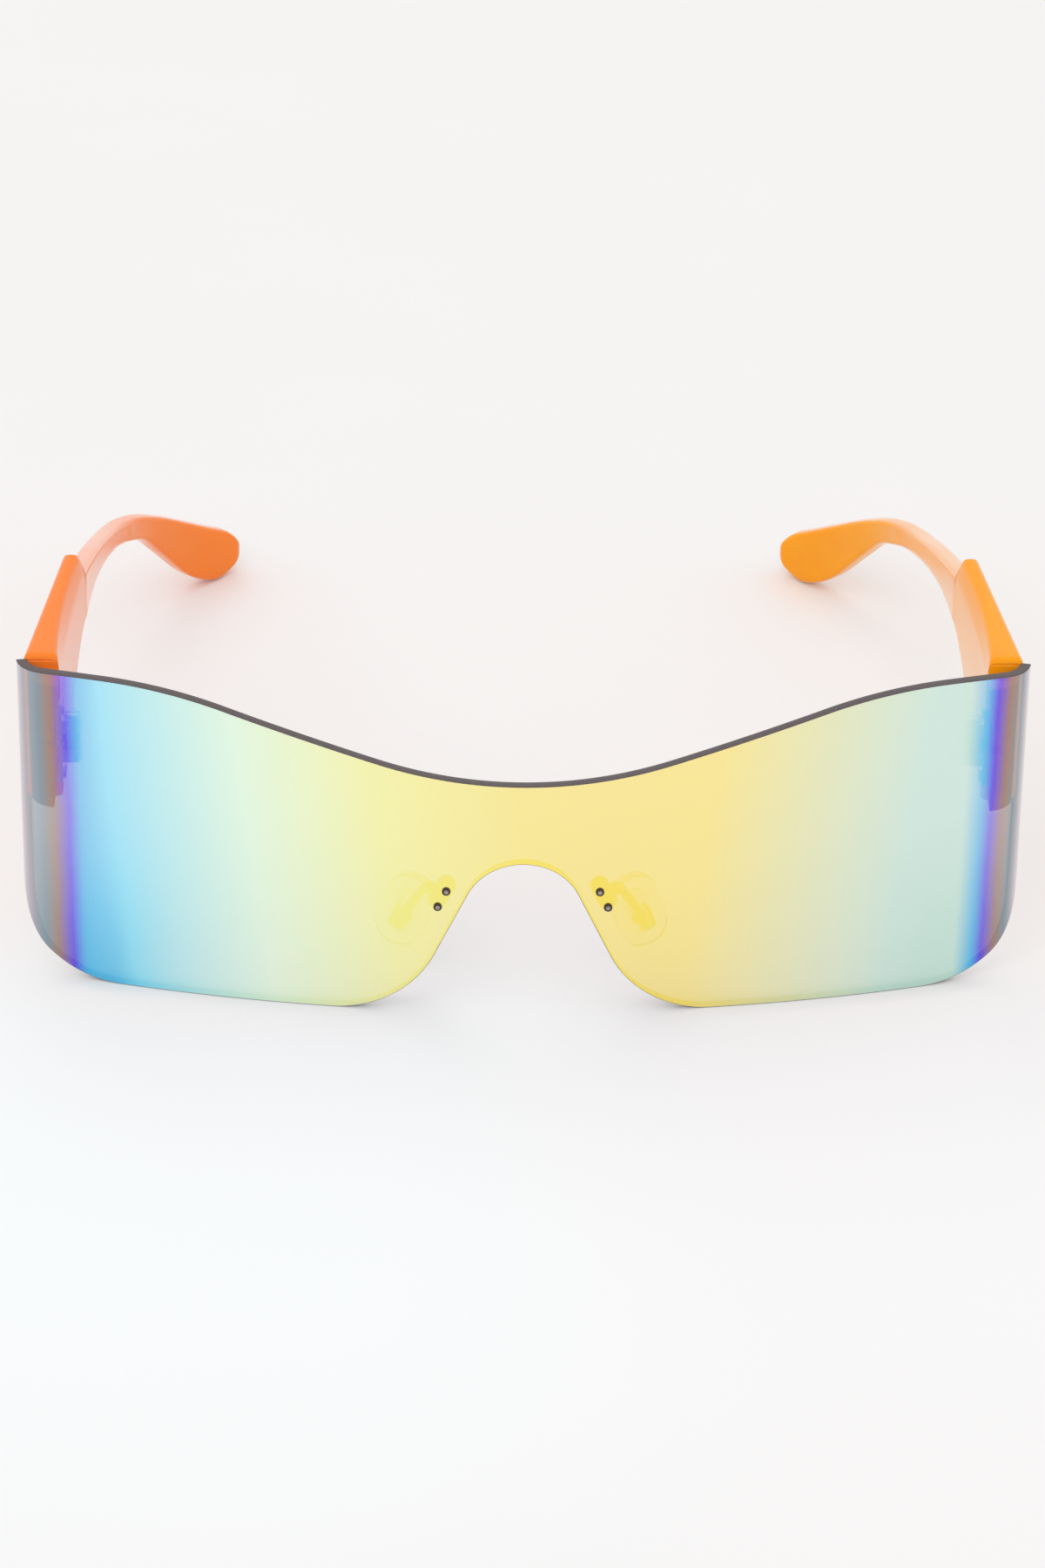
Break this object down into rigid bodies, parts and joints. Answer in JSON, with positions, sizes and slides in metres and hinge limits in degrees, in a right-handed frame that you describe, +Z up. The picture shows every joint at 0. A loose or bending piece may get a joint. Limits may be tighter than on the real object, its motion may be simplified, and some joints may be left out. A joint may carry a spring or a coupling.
{
  "type": "shield sunglasses",
  "caption": "Wrap-round shield sunglasses: one bent mirror lens with a nose arch, two folding moulded temples on small metal hinges, and rocking nose pads.",
  "frame": {"origin": "on the surface that the pair rests on, under the middle of its outline", "axes": "+X across the face, to the right of the picture; +Y from the lens towards the ears; +Z up"},
  "size_m": [0.1466, 0.1402, 0.0512],
  "materials": {
    "mirror_lens": "mirror coated, yellow to blue with violet ends",
    "orange_plastic": "moulded, satin gloss",
    "steel": "bright stamped and turned",
    "clear_pad": "clear soft silicone",
    "clear_core": "clear stiff nylon"
  },
  "bodies": {
    "front": {"shield_lens": "mirror_lens", "end_piece_left": "orange_plastic", "end_piece_right": "orange_plastic", "front_leaf_left": "steel", "front_leaf_right": "steel", "hinge_screw_left": "steel", "hinge_screw_right": "steel", "front_leaf_screws_left": "steel", "front_leaf_screws_right": "steel", "nose_pins_left": "steel", "nose_pins_right": "steel", "nose_nuts_left": "steel", "nose_nuts_right": "steel", "nose_bracket_left": "steel", "nose_bracket_right": "steel", "pad_screw_left": "steel", "pad_screw_right": "steel"},
    "left_temple": {"temple_left": "orange_plastic", "temple_leaf_left": "steel", "temple_leaf_screws_left": "steel"},
    "right_temple": {"temple_right": "orange_plastic", "temple_leaf_right": "steel", "temple_leaf_screws_right": "steel"},
    "left_pad": {"nose_pad_left": "clear_pad", "pad_core_left": "clear_core"},
    "right_pad": {"nose_pad_right": "clear_pad", "pad_core_right": "clear_core"}
  },
  "joints": [
    {"name": "left_fold", "type": "hinge", "parent": "front", "child": "left_temple", "pos_m": [-0.06536, -0.05516, 0.03775], "axis": [0, 0, -1], "range_deg": [0, 82]},
    {"name": "right_fold", "type": "hinge", "parent": "front", "child": "right_temple", "pos_m": [0.06536, -0.05516, 0.03775], "axis": [0, 0, 1], "range_deg": [0, 78]},
    {"name": "left_pad_rock", "type": "hinge", "parent": "front", "child": "left_pad", "pos_m": [-0.01767, -0.06416, 0.01322], "axis": [0.883, -0.3214, -0.342], "range_deg": [-8, 8]},
    {"name": "right_pad_rock", "type": "hinge", "parent": "front", "child": "right_pad", "pos_m": [0.01767, -0.06416, 0.01322], "axis": [-0.883, -0.3214, -0.342], "range_deg": [-8, 8]}
  ]
}
